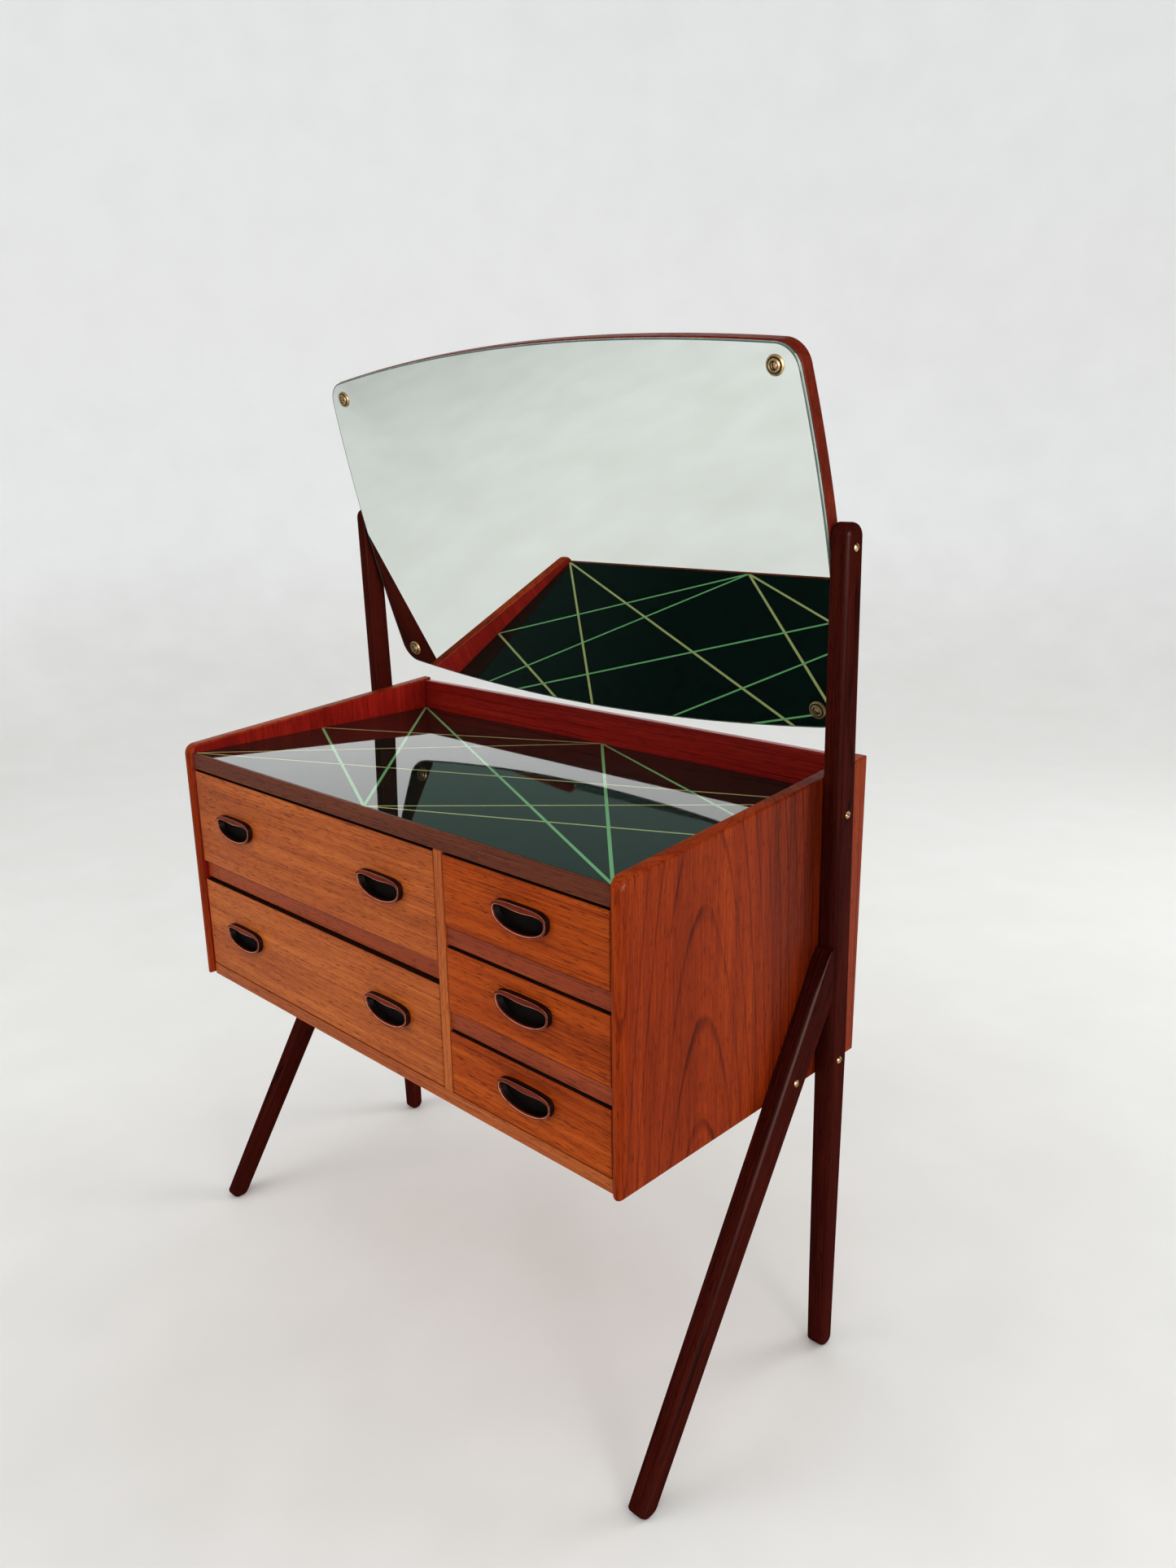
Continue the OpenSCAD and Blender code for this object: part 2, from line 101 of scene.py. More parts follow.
class Shader(Nodes):
    """A material with its Principled BSDF. settings are that shader's inputs, with _ for each space."""

    def __init__(self, name, **settings):
        self.material = bpy.data.materials.new(name)
        self.material.use_nodes = True
        super().__init__(self.material.node_tree)
        self.bsdf = self.tree.nodes["Principled BSDF"]
        for key, value in settings.items():
            self.bsdf.inputs[key.replace("_", " ")].default_value = value

    def coords(self, turn=0.0):
        """The object's own coordinates, turned about X, as three sockets."""
        at = self.node("TexCoord").outputs["Object"]
        if turn:
            at = self.node("Mapping", {"Vector": at, "Rotation": (turn, 0, 0)}).outputs[0]
        return self.node("SeparateXYZ", {0: at}).outputs

    def vector(self, u, v, w, scale=(1, 1, 1)):
        """Three sockets joined to one, each times its scale."""
        parts = [self.math("MULTIPLY", p, s) if s != 1 else p for p, s in zip((u, v, w), scale)]
        return self.node("CombineXYZ", dict(enumerate(parts))).outputs[0]

    def noise(self, vector, scale=1.0, detail=2.0, rough=0.5):
        inputs = {"Vector": vector, "Scale": scale, "Detail": detail, "Roughness": rough}
        return self.node("TexNoise", inputs).outputs[0]

    def ramp(self, factor, stops):
        """The colour at factor between stops of (place, linear colour)."""
        n = self.node("ValToRGB", {0: factor})
        points = n.color_ramp.elements
        while len(points) < len(stops):
            points.new(0.5)
        for point, (place, colour) in zip(points, stops):
            point.position = place
            point.color = colour
        return n.outputs[0]

    def level(self, value, low, high, out_low=0.0, out_high=1.0):
        """value taken from low..high to out_low..out_high, smoothly."""
        inputs = {0: value, 1: low, 2: high, 3: out_low, 4: out_high}
        return self.node("MapRange", inputs, interpolation_type="SMOOTHSTEP").outputs[0]

    def mix(self, factor, a, b):
        """Colour a where factor is 0, b where it is 1."""
        n = self.node("Mix", data_type="RGBA")
        for socket, value in ((n.inputs[0], factor), (n.inputs[6], a), (n.inputs[7], b)):
            self.feed(socket, value)
        return n.outputs[2]

    def finish(self, colour, rough, height=None, bump=0.0, distance=MM):
        """Ties colour, roughness and, where given, a bump map's height to the shader."""
        self.feed(self.bsdf.inputs["Base Color"], colour)
        self.feed(self.bsdf.inputs["Roughness"], rough)
        if height is not None:
            inputs = {"Strength": bump, "Distance": distance, "Height": height}
            self.feed(self.bsdf.inputs["Normal"], self.node("Bump", inputs).outputs[0])
        return self.material


def wood(name, tones, along="x", across="z", turn=0.0, pith=(0.3, 0.05), slope=0.0, ring=6 * MM, figure=0.5,
         streak=0.5, pores=0.55, rough=(0.36, 0.5), coat=0.0, gloss=0.22, wander=3 * MM, aged=None):
    """Sawn wood. tones are its dark, middle and light sRGB colours.

    along and across are the face's axes, turned about X by turn. pith is the tree's centre, across the face
    and below it; slope leans it along the grain, which draws nested arches. ring is the distance between two
    growth rings, wander how far they stray. The last argument says where across the face the tone begins to
    darken, is darkest and is normal again, and by how much: a painted shadow, the shade of a post and leg."""
    s = Shader(name, Coat_Weight=coat, Coat_Roughness=0.34, Specular_IOR_Level=gloss)
    axes = dict(zip("xyz", s.coords(turn)))
    u, v = axes[along], axes[across]
    w = axes[next(a for a in "xyz" if a not in (along, across))]

    # growth rings: dark lines at even distances from the pith, wandering a little along the board
    drift = s.noise(s.vector(u, v, w, (2.2, 6, 6)), detail=2)
    sway = s.noise(s.vector(u, v, w, (9, 40, 40)), detail=2)
    offset = s.math("MULTIPLY_ADD", drift, wander * 6, s.math("MULTIPLY", sway, wander))
    side = s.math("ADD", s.math("SUBTRACT", v, pith[0]), offset)
    depth = s.math("ADD", s.math("MULTIPLY_ADD", u, slope, pith[1]), s.math("ADD", w, offset))
    distance = s.math("SQRT", s.math("ADD", s.math("MULTIPLY", side, side), s.math("MULTIPLY", depth, depth)))

    def lines(spacing, soft):
        """1 where a ring is darkest. It darkens over the part soft of the spacing, then ends sharply."""
        turns = s.math("FRACT", s.math("DIVIDE", distance, spacing))
        return s.math("SUBTRACT", s.level(turns, 1 - soft, 0.94), s.level(turns, 0.95, 1.0))

    presence = s.noise(s.vector(u, v, w, (3, 45, 45)), detail=2)
    rings = s.math("MULTIPLY", lines(ring, 0.2), s.level(presence, 0.3, 0.68, 0.25, 1.0))
    inner = s.math("MULTIPLY", lines(ring / 3.3, 0.8), s.level(presence, 0.35, 0.65, 0.6, 0.1))

    # long fine streaks, short dark pores, and slow changes of tone
    streaks = s.noise(s.vector(u, v, w, (9, 520, 520)), detail=4, rough=0.75)
    bands = s.noise(s.vector(u, v, w, (1.2, 45, 45)), detail=3, rough=0.6)
    pore = s.noise(s.vector(u, v, w, (60, 760, 760)), detail=2, rough=0.6)
    pore_mask = s.level(pore, 0.55, 0.68)
    cloud = s.noise(s.vector(u, v, w, (2.5, 7, 7)), detail=2)

    tone = s.math("MULTIPLY_ADD", rings, -figure, 0.60)
    tone = s.math("MULTIPLY_ADD", inner, -figure * 0.35, tone)
    tone = s.math("MULTIPLY_ADD", s.math("SUBTRACT", streaks, 0.5), streak * 2.4, tone)
    tone = s.math("MULTIPLY_ADD", s.math("SUBTRACT", bands, 0.5), streak * 1.5, tone)
    tone = s.math("MULTIPLY_ADD", s.math("SUBTRACT", cloud, 0.5), 0.55, tone)
    # painted shadow: the tone darkens across the face where a post and leg shade it
    if aged:
        start, darkest, end, amount = aged
        shade = s.math("SUBTRACT", s.level(v, start, darkest), s.level(v, darkest, end))
        tone = s.math("MULTIPLY_ADD", shade, -amount, tone)
    dark, middle, light = (linear(t) for t in tones)
    colour = s.ramp(tone, [(0.0, dark), (0.55, middle), (1.0, light)])
    pore_tone = (*[c * 0.45 for c in dark[:3]], 1)
    colour = s.mix(s.math("MULTIPLY", pore_mask, pores), colour, pore_tone)

    roughness = s.math("MULTIPLY_ADD", pore_mask, 0.12, s.level(streaks, 0.3, 0.7, *rough))
    height = s.math("SUBTRACT", s.math("MULTIPLY", streaks, 0.5), pore_mask)
    return s.finish(colour, roughness, height, 0.1, 0.4 * MM)


# Tones of the woods: dark, middle and light
TEAK = ((102, 40, 10), (162, 82, 30), (191, 111, 49))
TEAK_NARROW = ((96, 32, 6), (157, 69, 18), (187, 97, 31))
TEAK_SIDE = ((80, 22, 3), (136, 49, 8), (162, 72, 19))
TEAK_RAIL = ((84, 26, 8), (138, 58, 22), (164, 80, 36))
TEAK_DARK = ((58, 20, 8), (100, 46, 22), (126, 68, 38))
# a darker, redder teak for faces in shade, the side panels' inner faces and the gallery: painted shade
SHADED_TEAK_RED = ((90, 14, 12), (132, 28, 20), (154, 44, 28))
STAINED = ((28, 6, 4), (61, 18, 12), (86, 31, 21))
MIRROR_TEAK = ((66, 16, 5), (108, 32, 11), (136, 52, 22))
# the drawers' top edges, dark as the shade in the gaps above them: painted shade
SHADED_EDGE_TEAK = ((22, 9, 5), (46, 20, 10), (66, 32, 18))
PULL = ((56, 14, 6), (104, 34, 15), (134, 54, 28))
# pale lines on the pulls' arrises: painted highlights
PULL_ARRIS_HIGHLIGHT = ((140, 74, 56), (186, 120, 94), (210, 150, 124))
# the pulls' dark outer walls: dark varnish and painted shade
PULL_WALL_VARNISH_AND_SHADE = ((16, 4, 3), (40, 11, 7), (58, 20, 13))
BEECH = ((158, 116, 78), (192, 152, 110), (212, 176, 134))
PLYWOOD = ((140, 96, 58), (178, 134, 88), (204, 164, 116))

# What materials of one kind share
SIDE_GRAIN = dict(along="z", across="y", ring=12.5 * MM, streak=0.6, wander=2 * MM, gloss=0.07)
FRONT_GRAIN = dict(along="x", across="z", slope=0.05, ring=8.5 * MM, figure=0.28, streak=0.6, pores=0.65)
STAIN = dict(along="z", across="y", ring=4 * MM, rough=(0.3, 0.42), coat=0.06, gloss=0.0, pores=0.5)
BEECH_GRAIN = dict(across="z", pith=(0.2, 0.3), ring=5 * MM, figure=0.3, rough=(0.5, 0.65))
CARVED = dict(pith=(0.4, 0.05))
GROUND_GLASS = dict(scale=30, rough=(0.2, 0.3), bump=0.02)
BRASS = dict(scale=500, bump=0.1, Metallic=0.5)

LEG_GRAIN_TURN = math.radians(31.5)  # the lean of the legs, which their grain follows
SIDES_AT = 0.4  # the side panels' outer faces, to either side of the middle


def painted_glass():
    """Dark glass, painted underneath, crossed by five green and five yellow lines."""
    s = Shader("painted_glass", IOR=1.47)
    x, y, _ = s.coords()
    lo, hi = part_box("glass_top")
    left, right, front, back = lo.x, hi.x, lo.y, hi.y
    depth = back - front
    middle = (left + right) / 2
    left_middle = (left, front + 0.51 * depth)
    green = [((left, back), (right, front)), ((middle, back), (right, front)),
             ((middle, back), (right, front + 0.57 * depth)), (left_middle, (middle, front)),
             ((middle, front), (left, back))]
    yellow = [((left, front), (middle, back)), ((left, front), (right, front + 0.9 * depth)),
              (left_middle, (middle, back)), ((middle, front), (right, front + 0.86 * depth)),
              ((middle, front), (right, front + 0.46 * depth))]
    green_half, yellow_half = 2.0 * MM, 1.8 * MM
    wear = s.noise(s.vector(x, y, 0.0, (60, 60, 1)), detail=3)

    def line(ends, half):
        """1 on the line through two points of the glass, fading out half a line's width from it."""
        (ax, ay), (bx, by) = ends
        length = math.hypot(bx - ax, by - ay)
        nx, ny = -(by - ay) / length, (bx - ax) / length
        off = s.math("MULTIPLY_ADD", x, nx, -(ax * nx + ay * ny))
        off = s.math("ABSOLUTE", s.math("MULTIPLY_ADD", y, ny, off))
        return s.level(off, half * 0.85, half * 1.1, 1.0, 0.0)

    def together(lines, half):
        """1 on any of the lines."""
        total = line(lines[0], half)
        for ends in lines[1:]:
            total = s.math("MAXIMUM", total, line(ends, half))
        return total

    base = s.ramp(wear, [(0.3, linear((8, 20, 17))), (0.7, linear((13, 30, 25)))])
    colour = s.mix(together(yellow, yellow_half), base, linear((150, 156, 108)))
    colour = s.mix(together(green, green_half), colour, linear((104, 156, 108)))
    roughness = s.level(wear, 0.3, 0.75, 0.015, 0.05)
    return s.finish(colour, roughness)


def plain(name, low, high, scale, rough, bump, **settings):
    """A material whose tone, roughness and surface vary with noise between two colours."""
    s = Shader(name, **settings)
    x, y, z = s.coords()
    n = s.noise(s.vector(x, y, z), scale=scale, detail=4, rough=0.6)
    fine = s.noise(s.vector(x, y, z), scale=scale * 14, detail=2)
    colour = s.ramp(n, [(0.3, linear(low)), (0.7, linear(high))])
    return s.finish(colour, s.level(n, 0.3, 0.7, *rough), fine, bump, 0.2 * MM)


MATERIALS = {
    # cabinet
    # both side panels darken towards the post and leg: a painted shadow
    "right_side": wood("teak_right_side", TEAK_SIDE, **SIDE_GRAIN, pith=(-0.078, 0.018 - SIDES_AT),
                       slope=0.115, figure=0.42, aged=(-0.06, 0.125, 0.165, 0.42)),
    "left_side": wood("teak_left_side", TEAK_SIDE, **SIDE_GRAIN, pith=(0.05, 0.03 + SIDES_AT),
                      slope=0.09, figure=0.5, aged=(-0.02, 0.125, 0.165, 0.3)),
    # inner faces of the side panels: the same teak, painted darker and redder as shade
    "side_inner": wood("shaded_teak_side_inner", SHADED_TEAK_RED, "z", "y", pith=(0.3, 0.1), figure=0.3, gloss=0.05),
    "upright": wood("teak_upright", TEAK, "z", "x", pith=(0.3, 0.1), ring=5 * MM),
    "bottom": wood("teak_bottom", TEAK, "x", "y", pith=(0.1, 0.3)),
    "rail": wood("teak_rail", TEAK_RAIL, pith=(0.2, 0.1), ring=4 * MM),
    "lipping": wood("teak_lipping", TEAK_DARK, pith=(0.9, 0.1), ring=3 * MM, rough=(0.4, 0.55)),
    # the gallery takes the same darker, redder teak: painted shade
    "gallery": wood("shaded_teak_gallery", SHADED_TEAK_RED, pith=(0.5, 0.1), ring=7 * MM, rough=(0.25, 0.4)),
    "plywood": wood("plywood", PLYWOOD, "x", "y", pith=(0.9, 0.1), slope=0.03, ring=12 * MM,
                    rough=(0.5, 0.65)),
    "glass": painted_glass(),
    # drawers
    "front": wood("teak_front", TEAK, **FRONT_GRAIN, pith=(0.12, 0.42), gloss=0.17),
    "narrow_front": wood("teak_narrow_front", TEAK_NARROW, **FRONT_GRAIN, pith=(0.3, 0.42), gloss=0.08),
    # the drawer fronts' top edges: painted shade
    "edge": wood("teak_edge_painted_shade", SHADED_EDGE_TEAK, "x", "y", rough=(0.55, 0.7), gloss=0.1),
    "pull": wood("carved_pull", PULL, **CARVED, ring=4 * MM, rough=(0.3, 0.42), gloss=0.1, pores=0.4),
    "pull_arris": wood("carved_pull_arris_highlight", PULL_ARRIS_HIGHLIGHT, **CARVED, rough=(0.3, 0.4), pores=0.3),
    "pull_wall": wood("carved_pull_wall_varnish_and_shade", PULL_WALL_VARNISH_AND_SHADE, **CARVED, rough=(0.4, 0.5), gloss=0.12, pores=0.3),
    # the pulls' recesses and the screws' slots, near black: painted shade
    "recess": plain("recess_painted_shade", (9, 5, 4), (20, 10, 7), scale=90, rough=(0.55, 0.7), bump=0.1,
                    Specular_IOR_Level=0.1),
    "drawer_side": wood("beech_side", BEECH, along="y", **BEECH_GRAIN),
    "drawer_back": wood("beech_back", BEECH, along="x", **BEECH_GRAIN),
    # posts and legs
    "post": wood("stained_post", STAINED, **STAIN, pith=(0.2, 0.35)),
    "leg": wood("stained_leg", STAINED, **STAIN, turn=LEG_GRAIN_TURN, pith=(0.4, 0.35)),
    # mirror
    "mirror_board": wood("teak_mirror_board", MIRROR_TEAK, pith=(1.1, 0.3), slope=0.03, ring=9 * MM,
                         figure=0.35, gloss=0.08),
    "mirror": plain("silvered_glass", (231, 237, 233), (234, 240, 236), scale=3, rough=(0.0, 0.004), bump=0.0,
                    Metallic=1.0),
    "glass_edge": plain("glass_edge", (84, 96, 91), (104, 116, 110), **GROUND_GLASS),
    "glass_side": plain("glass_side", (150, 168, 158), (176, 192, 182), **GROUND_GLASS),
    "brass": plain("aged_brass", (136, 114, 78), (186, 164, 124), **BRASS, rough=(0.35, 0.5)),
    "tarnish": plain("tarnished_brass", (34, 26, 16), (62, 50, 32), **BRASS, rough=(0.4, 0.6)),
}


# ---------------------------------------------------------------- mesh helpers


def arc(cx, cz, r, start, end, n):
    """Points on a circle from one angle to another, in degrees."""
    angles = [math.radians(start + (end - start) * i / n) for i in range(n + 1)]
    return [(cx + r * math.cos(a), cz + r * math.sin(a)) for a in angles]


def circle(cx, cz, r, n):
    """n points evenly round a circle."""
    angles = [2 * math.pi * i / n for i in range(n)]
    return [(cx + r * math.cos(a), cz + r * math.sin(a)) for a in angles]


def rectangle(x0, z0, x1, z1, r=0.0, n=3):
    """A rectangle's outline with rounded corners."""
    if not r:
        return [(x0, z0), (x1, z0), (x1, z1), (x0, z1)]
    return (arc(x1 - r, z0 + r, r, -90, 0, n) + arc(x1 - r, z1 - r, r, 0, 90, n)
            + arc(x0 + r, z1 - r, r, 90, 180, n) + arc(x0 + r, z0 + r, r, 180, 270, n))


def evenly(start, end, n):
    """n numbers at even distances from start to end."""
    return [start + (end - start) * i / (n - 1) for i in range(n)]


SHARPEST = 0.35  # keeps an inset corner from running away where two edges nearly turn back


def inset(points, amounts):
    """The outline, counterclockwise, with each corner moved inwards by its own amount."""
    out = []
    for i, p in enumerate(points):
        a, b = Vector(points[i - 1]), Vector(points[(i + 1) % len(points)])
        d0, d1 = (Vector(p) - a).normalized(), (b - Vector(p)).normalized()
        n0, n1 = Vector((-d0.y, d0.x)), Vector((-d1.y, d1.x))
        m = (n0 + n1) / max(SHARPEST, 1 + n0.dot(n1))
        out.append((p[0] + m.x * amounts[i], p[1] + m.y * amounts[i]))
    return out


# A point of an outline seen along an axis, and its place t on that axis, as a point in space
PLACE = {"x": lambda p, t: (t, p[0], p[1]),
         "y": lambda p, t: (p[0], t, p[1]),
         "z": lambda p, t: (p[0], p[1], t)}


def plate(outline, axis, lo, hi, radius, steps, holes=(), hole_depth=0.0, crisp=0.0, far_radius=None):
    """A plate with rounded edges. outline is seen along axis, from lo to hi.

    radius is the rounding, one number or one for each corner; far_radius is that of the hi face where it
    differs. crisp is the angle, in degrees, left between face and rounding. holes are outlines sunk into the
    lo face, hole_depth deep."""
    bm = bmesh.new()
    if far_radius is None:
        far_radius = radius
    near, far = (r if isinstance(r, list) else [r] * len(outline) for r in (radius, far_radius))
    first = math.radians(crisp)
    angles = [first + (math.pi / 2 - first) * k / steps for k in range(steps + 1)]
    levels = [(a, near, False) for a in angles] + [(a, far, True) for a in reversed(angles)]
    rings = []
    for angle, radii, top in levels:
        points = inset(outline, [r * (1 - math.sin(angle)) for r in radii])
        rise = [r * (math.cos(first) - math.cos(angle)) for r in radii]
        rings.append([bm.verts.new(PLACE[axis](p, hi - h if top else lo + h)) for p, h in zip(points, rise)])
    bridge(bm, rings)
    bm.faces.new(rings[-1])
    if holes:
        edges = [bm.edges.get((a, b)) for a, b in zip(rings[0], rings[0][1:] + rings[0][:1])]
        for hole in holes:
            mouth = [bm.verts.new(PLACE[axis](p, lo)) for p in hole]
            floor = [bm.verts.new(PLACE[axis](p, lo + hole_depth)) for p in hole]
            edges += [bm.edges.new(pair) for pair in zip(mouth, mouth[1:] + mouth[:1])]
            bridge(bm, [mouth, floor])
            bm.faces.new(floor)
        bmesh.ops.triangle_fill(bm, use_beauty=True, edges=edges)
    else:
        bm.faces.new(rings[0])
    return bm


def bridge(bm, rings, closed=False):
    """Quads between rings of vertices; closed joins the last ring to the first."""
    for a, b in zip(rings, rings[1:] + rings[:1] if closed else rings[1:]):
        for i in range(len(a)):
            j = (i + 1) % len(a)
            bm.faces.new((a[i], a[j], b[j], b[i]))


def loft(rings):
    """A closed skin through rings of points, with a face over either end."""
    bm = bmesh.new()
    verts = [[bm.verts.new(p) for p in ring] for ring in rings]
    bridge(bm, verts)
    bm.faces.new(verts[0])
    bm.faces.new(verts[-1])
    return bm


def turned(profile, n):
    """Rings of points about Z, from a profile of (radius, height)."""
    return [[(*p, height) for p in circle(0, 0, radius, n)] for radius, height in profile]


def join(whole, part):
    """Adds part's faces to whole and frees part."""
    mesh = bpy.data.meshes.new("part")
    part.to_mesh(mesh)
    whole.from_mesh(mesh)
    part.free()
    bpy.data.meshes.remove(mesh)


def piece(name, bm, materials, body, stands_for, slot, matrix=None, pick=None, sharp=38):
    """Makes the object, gives it its materials and ties it to its body.

    pick(face) chooses a material by its place in materials; edges sharper than sharp degrees stay creased."""
    bmesh.ops.recalc_face_normals(bm, faces=bm.faces)
    if matrix is not None:
        bm.transform(matrix)
    for face in bm.faces:
        face.smooth = True
        if pick:
            face.material_index = pick(face)
    mesh = bpy.data.meshes.new(name)
    bm.to_mesh(mesh)
    bm.free()
    mesh.set_sharp_from_angle(angle=math.radians(sharp))
    for key in materials:
        mesh.materials.append(MATERIALS[key])
    obj = bpy.data.objects.new(name, mesh)
    bpy.context.scene.collection.objects.link(obj)
    weighted = obj.modifiers.new("weighted", "WEIGHTED_NORMAL")
    weighted.keep_sharp = True
    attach(obj, body)
    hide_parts(*stands_for)
    return obj


NODE_BODY = {n: b for b, nodes in frame["record"]["behaviour"]["bodies"].items() for n in nodes}
NODE_SLOT = {row["node"]: row["material_slot"] for row in frame["record"]["subparts"]}


def stand_in(node, bm, *materials, **more):
    """A detailed piece that replaces one CAD node and keeps its body."""
    return piece(node + "_shape", bm, materials, NODE_BODY[node], [node], NODE_SLOT[node], **more)


def board(node, material, radius, axis="x", second=None, pick=None):
    """A plain board with eased edges, in a CAD node's box. pick(face) is 1 for the second material."""
    lo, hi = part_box(node)
    t = "xyz".index(axis)
    p, q = (i for i in range(3) if i != t)
    materials = [material, second] if second else [material]
    outline = rectangle(lo[p], lo[q], hi[p], hi[q], radius)
    return stand_in(node, plate(outline, axis, lo[t], hi[t], radius, 3), *materials, pick=pick)


def boxes_in(node):
    """The separate boxes of a node's mesh, as (low corner, high corner)."""
    bm = bmesh.new()
    bm.from_mesh(frame["nodes"][node].data)
    bmesh.ops.remove_doubles(bm, verts=bm.verts, dist=1e-6)
    left, found = set(bm.verts), []
    while left:
        todo, island = [left.pop()], []
        while todo:
            v = todo.pop()
            island.append(v.co.copy())
            neighbours = {e.other_vert(v) for e in v.link_edges} & left
            left -= neighbours
            todo += neighbours
        low, high = (Vector([end(c[i] for c in island) for i in range(3)]) for end in (min, max))
        found.append((low, high))
    bm.free()
    return sorted(found, key=lambda b: (round(b[0].z, 4), b[0].x))


# ---------------------------------------------------------------- cabinet

SIDE_FRONT_HEIGHT = 333 * MM  # up to where the sloping top edge starts
SIDE_CORNER = 15 * MM
SIDE_SLOPE_END = 95  # the angle round the corner, in degrees, at which the sloping top edge ends
SIDE_BULLNOSE = 8.6 * MM  # the front edge is nearly half round
SIDE_BACK_ARRIS, SIDE_TOP_ARRIS, SIDE_CORNER_ARRIS = 1.5 * MM, 3 * MM, 3.5 * MM
FRONT_OF_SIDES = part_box("left_side_panel")[0].y


def side_panel(hand):
    """A side panel: higher at the back, its top edge sloping down to a rounded front corner."""
    node = f"{hand}_side_panel"
    lo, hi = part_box(node)
    top_front = lo.z + SIDE_FRONT_HEIGHT
    corner = arc(lo.y + SIDE_CORNER, top_front - SIDE_CORNER, SIDE_CORNER, SIDE_SLOPE_END, 180, 10)
    outline = [(lo.y, lo.z), (hi.y, lo.z), (hi.y, hi.z)] + corner
    radii = [SIDE_BULLNOSE, SIDE_BACK_ARRIS, SIDE_TOP_ARRIS]
    radii += evenly(SIDE_CORNER_ARRIS, SIDE_BULLNOSE, len(corner))
    inwards = -1 if hand == "right" else 1
    # the inner faces take the darker, redder teak: painted shade
    stand_in(node, plate(outline, "x", lo.x, hi.x, radii, 6), f"{hand}_side", "side_inner",
             pick=lambda f: int(f.normal.x * inwards > 0.9))


def top_glass():
    """The painted glass that lies on the top board."""
    lo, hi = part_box("glass_top")
    outline = rectangle(*lo.xy, *hi.xy, 1 * MM)
    stand_in("glass_top", plate(outline, "z", lo.z, hi.z, 0.7 * MM, 3), "glass")


def runners(node):
    """The strips that one column's drawers slide on."""
    whole = bmesh.new()
    for lo, hi in boxes_in(node):
        join(whole, plate(rectangle(lo.x, lo.z, hi.x, hi.z, 1 * MM), "y", lo.y, hi.y, 1 * MM, 2))
    stand_in(node, whole, "drawer_side")


side_panel("left")
side_panel("right")
board("bottom_board", "bottom", 1.0 * MM)
board("column_divider", "upright", 1.0 * MM, "z")
board("top_board", "plywood", 0.5 * MM)
board("top_front_lipping", "lipping", 0.8 * MM)
# the gallery's back face takes the rail teak, all its other faces the darker, redder teak: painted shade
board("gallery_rail", "gallery", 2.5 * MM, "x", "rail", lambda f: int(f.normal.y > 0.9))
board("back_board", "plywood", 0.5 * MM, "y")
for name in ("wide_drawer_rail", "narrow_drawer_rail_upper", "narrow_drawer_rail_lower"):
    board(name, "rail", 0.8 * MM)
top_glass()
runners("wide_drawer_runners")
runners("narrow_drawer_runners")


# ---------------------------------------------------------------- drawers

PULL_UP, PULL_DOWN = 13.5 * MM, 20.5 * MM  # how far a pull reaches above and below its widest line
PULL_DIP = 1.2 * MM  # how far the middle of its top edge dips
PULL_POINTS = 96
PULL_OVERLAP = 0.5 * MM  # how far a pull's rim covers the edge of its recess
RECESS_DEPTH = 14 * MM
FRONT_OF_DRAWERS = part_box("wide_upper_front")[0].y
DRAWERS = {"wide_upper": ("left_pull", "right_pull"), "wide_lower": ("left_pull", "right_pull"),
           "narrow_upper": ("pull",), "narrow_middle": ("pull",), "narrow_lower": ("pull",)}


def pull_outline(width, up, down, dip):
    """A pull seen from the front: nearly straight along the top, with a deep curve below."""
    points = []
    for i in range(PULL_POINTS):
        a = 2 * math.pi * i / PULL_POINTS
        s, c = math.sin(a), math.cos(a)
        z = up * s**0.5 - dip * s**6 if s >= 0 else -down * (-s) ** 0.9
        points.append((width / 2 * c, z))
    return points


def pull_place(node):
    """The middle of a pull's widest line, as x and z, and the pull's width, from its CAD node."""
    lo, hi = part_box(node)
    return (lo.x + hi.x) / 2, lo.z + PULL_DOWN, hi.x - lo.x


def make_pull(node):
    """A carved ring round a finger recess.

    It has an upright outer wall, a narrow flat rim that is deeper along the top, and a wall that drops into
    the recess. The outer wall is dark, partly with dark varnish and partly as painted shade; the recess is
    painted near black as painted shade; the rim's two arrises are painted paler as painted highlights."""
    x, z, width = pull_place(node)
    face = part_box(node)[0].y
    proud = (FRONT_OF_DRAWERS - face) / MM
    wall, arris, rim, recess = 0, 1, 2, 3
    # each ring in mm: how far in from the sides, how far in from the top, how far behind the rim's face, and
    # the material up to the next ring
    steps = [(0, 0, proud + 2, wall), (0, 0, 1.0, wall), (0.1, 0.1, 0.35, arris), (0.35, 0.35, 0.1, rim),
             (1.0, 1.0, 0.0, rim), (1.7, 5.7, 0.0, arris), (2.1, 6.2, 0.1, arris), (2.6, 6.8, 0.6, rim),
             (2.9, 7.1, 1.2, rim), (3.1, 7.3, 2.2, recess), (3.6, 7.6, 5.0, recess), (4.4, 8.2, 9.0, recess),
             (6, 9, 17, recess)]
    # from ring to ring the top comes down, the bottom comes up and the dip deepens
    rings = []
    for side, top, depth, _ in steps:
        outline = pull_outline(width - 2 * side * MM, PULL_UP - 0.78 * top * MM, PULL_DOWN - 1.05 * side * MM,
                               PULL_DIP + 0.3 * top * MM)
        rings.append([(x + px, face + depth * MM, z + pz) for px, pz in outline])
    bm = loft(rings)
    bm.faces.ensure_lookup_table()
    for i, quad in enumerate(bm.faces):
        quad.material_index = steps[min(i // PULL_POINTS, len(steps) - 1)][3]
    stand_in(node, bm, "pull_wall", "pull_arris", "pull", "recess", sharp=30)


def pull_hole(node):
    """The outline of the recess behind a pull."""
    x, z, width = pull_place(node)
    outline = pull_outline(width - 2 * PULL_OVERLAP, PULL_UP - PULL_OVERLAP, PULL_DOWN - PULL_OVERLAP,
                           PULL_DIP)
    return [(x + px, z + pz) for px, pz in outline]


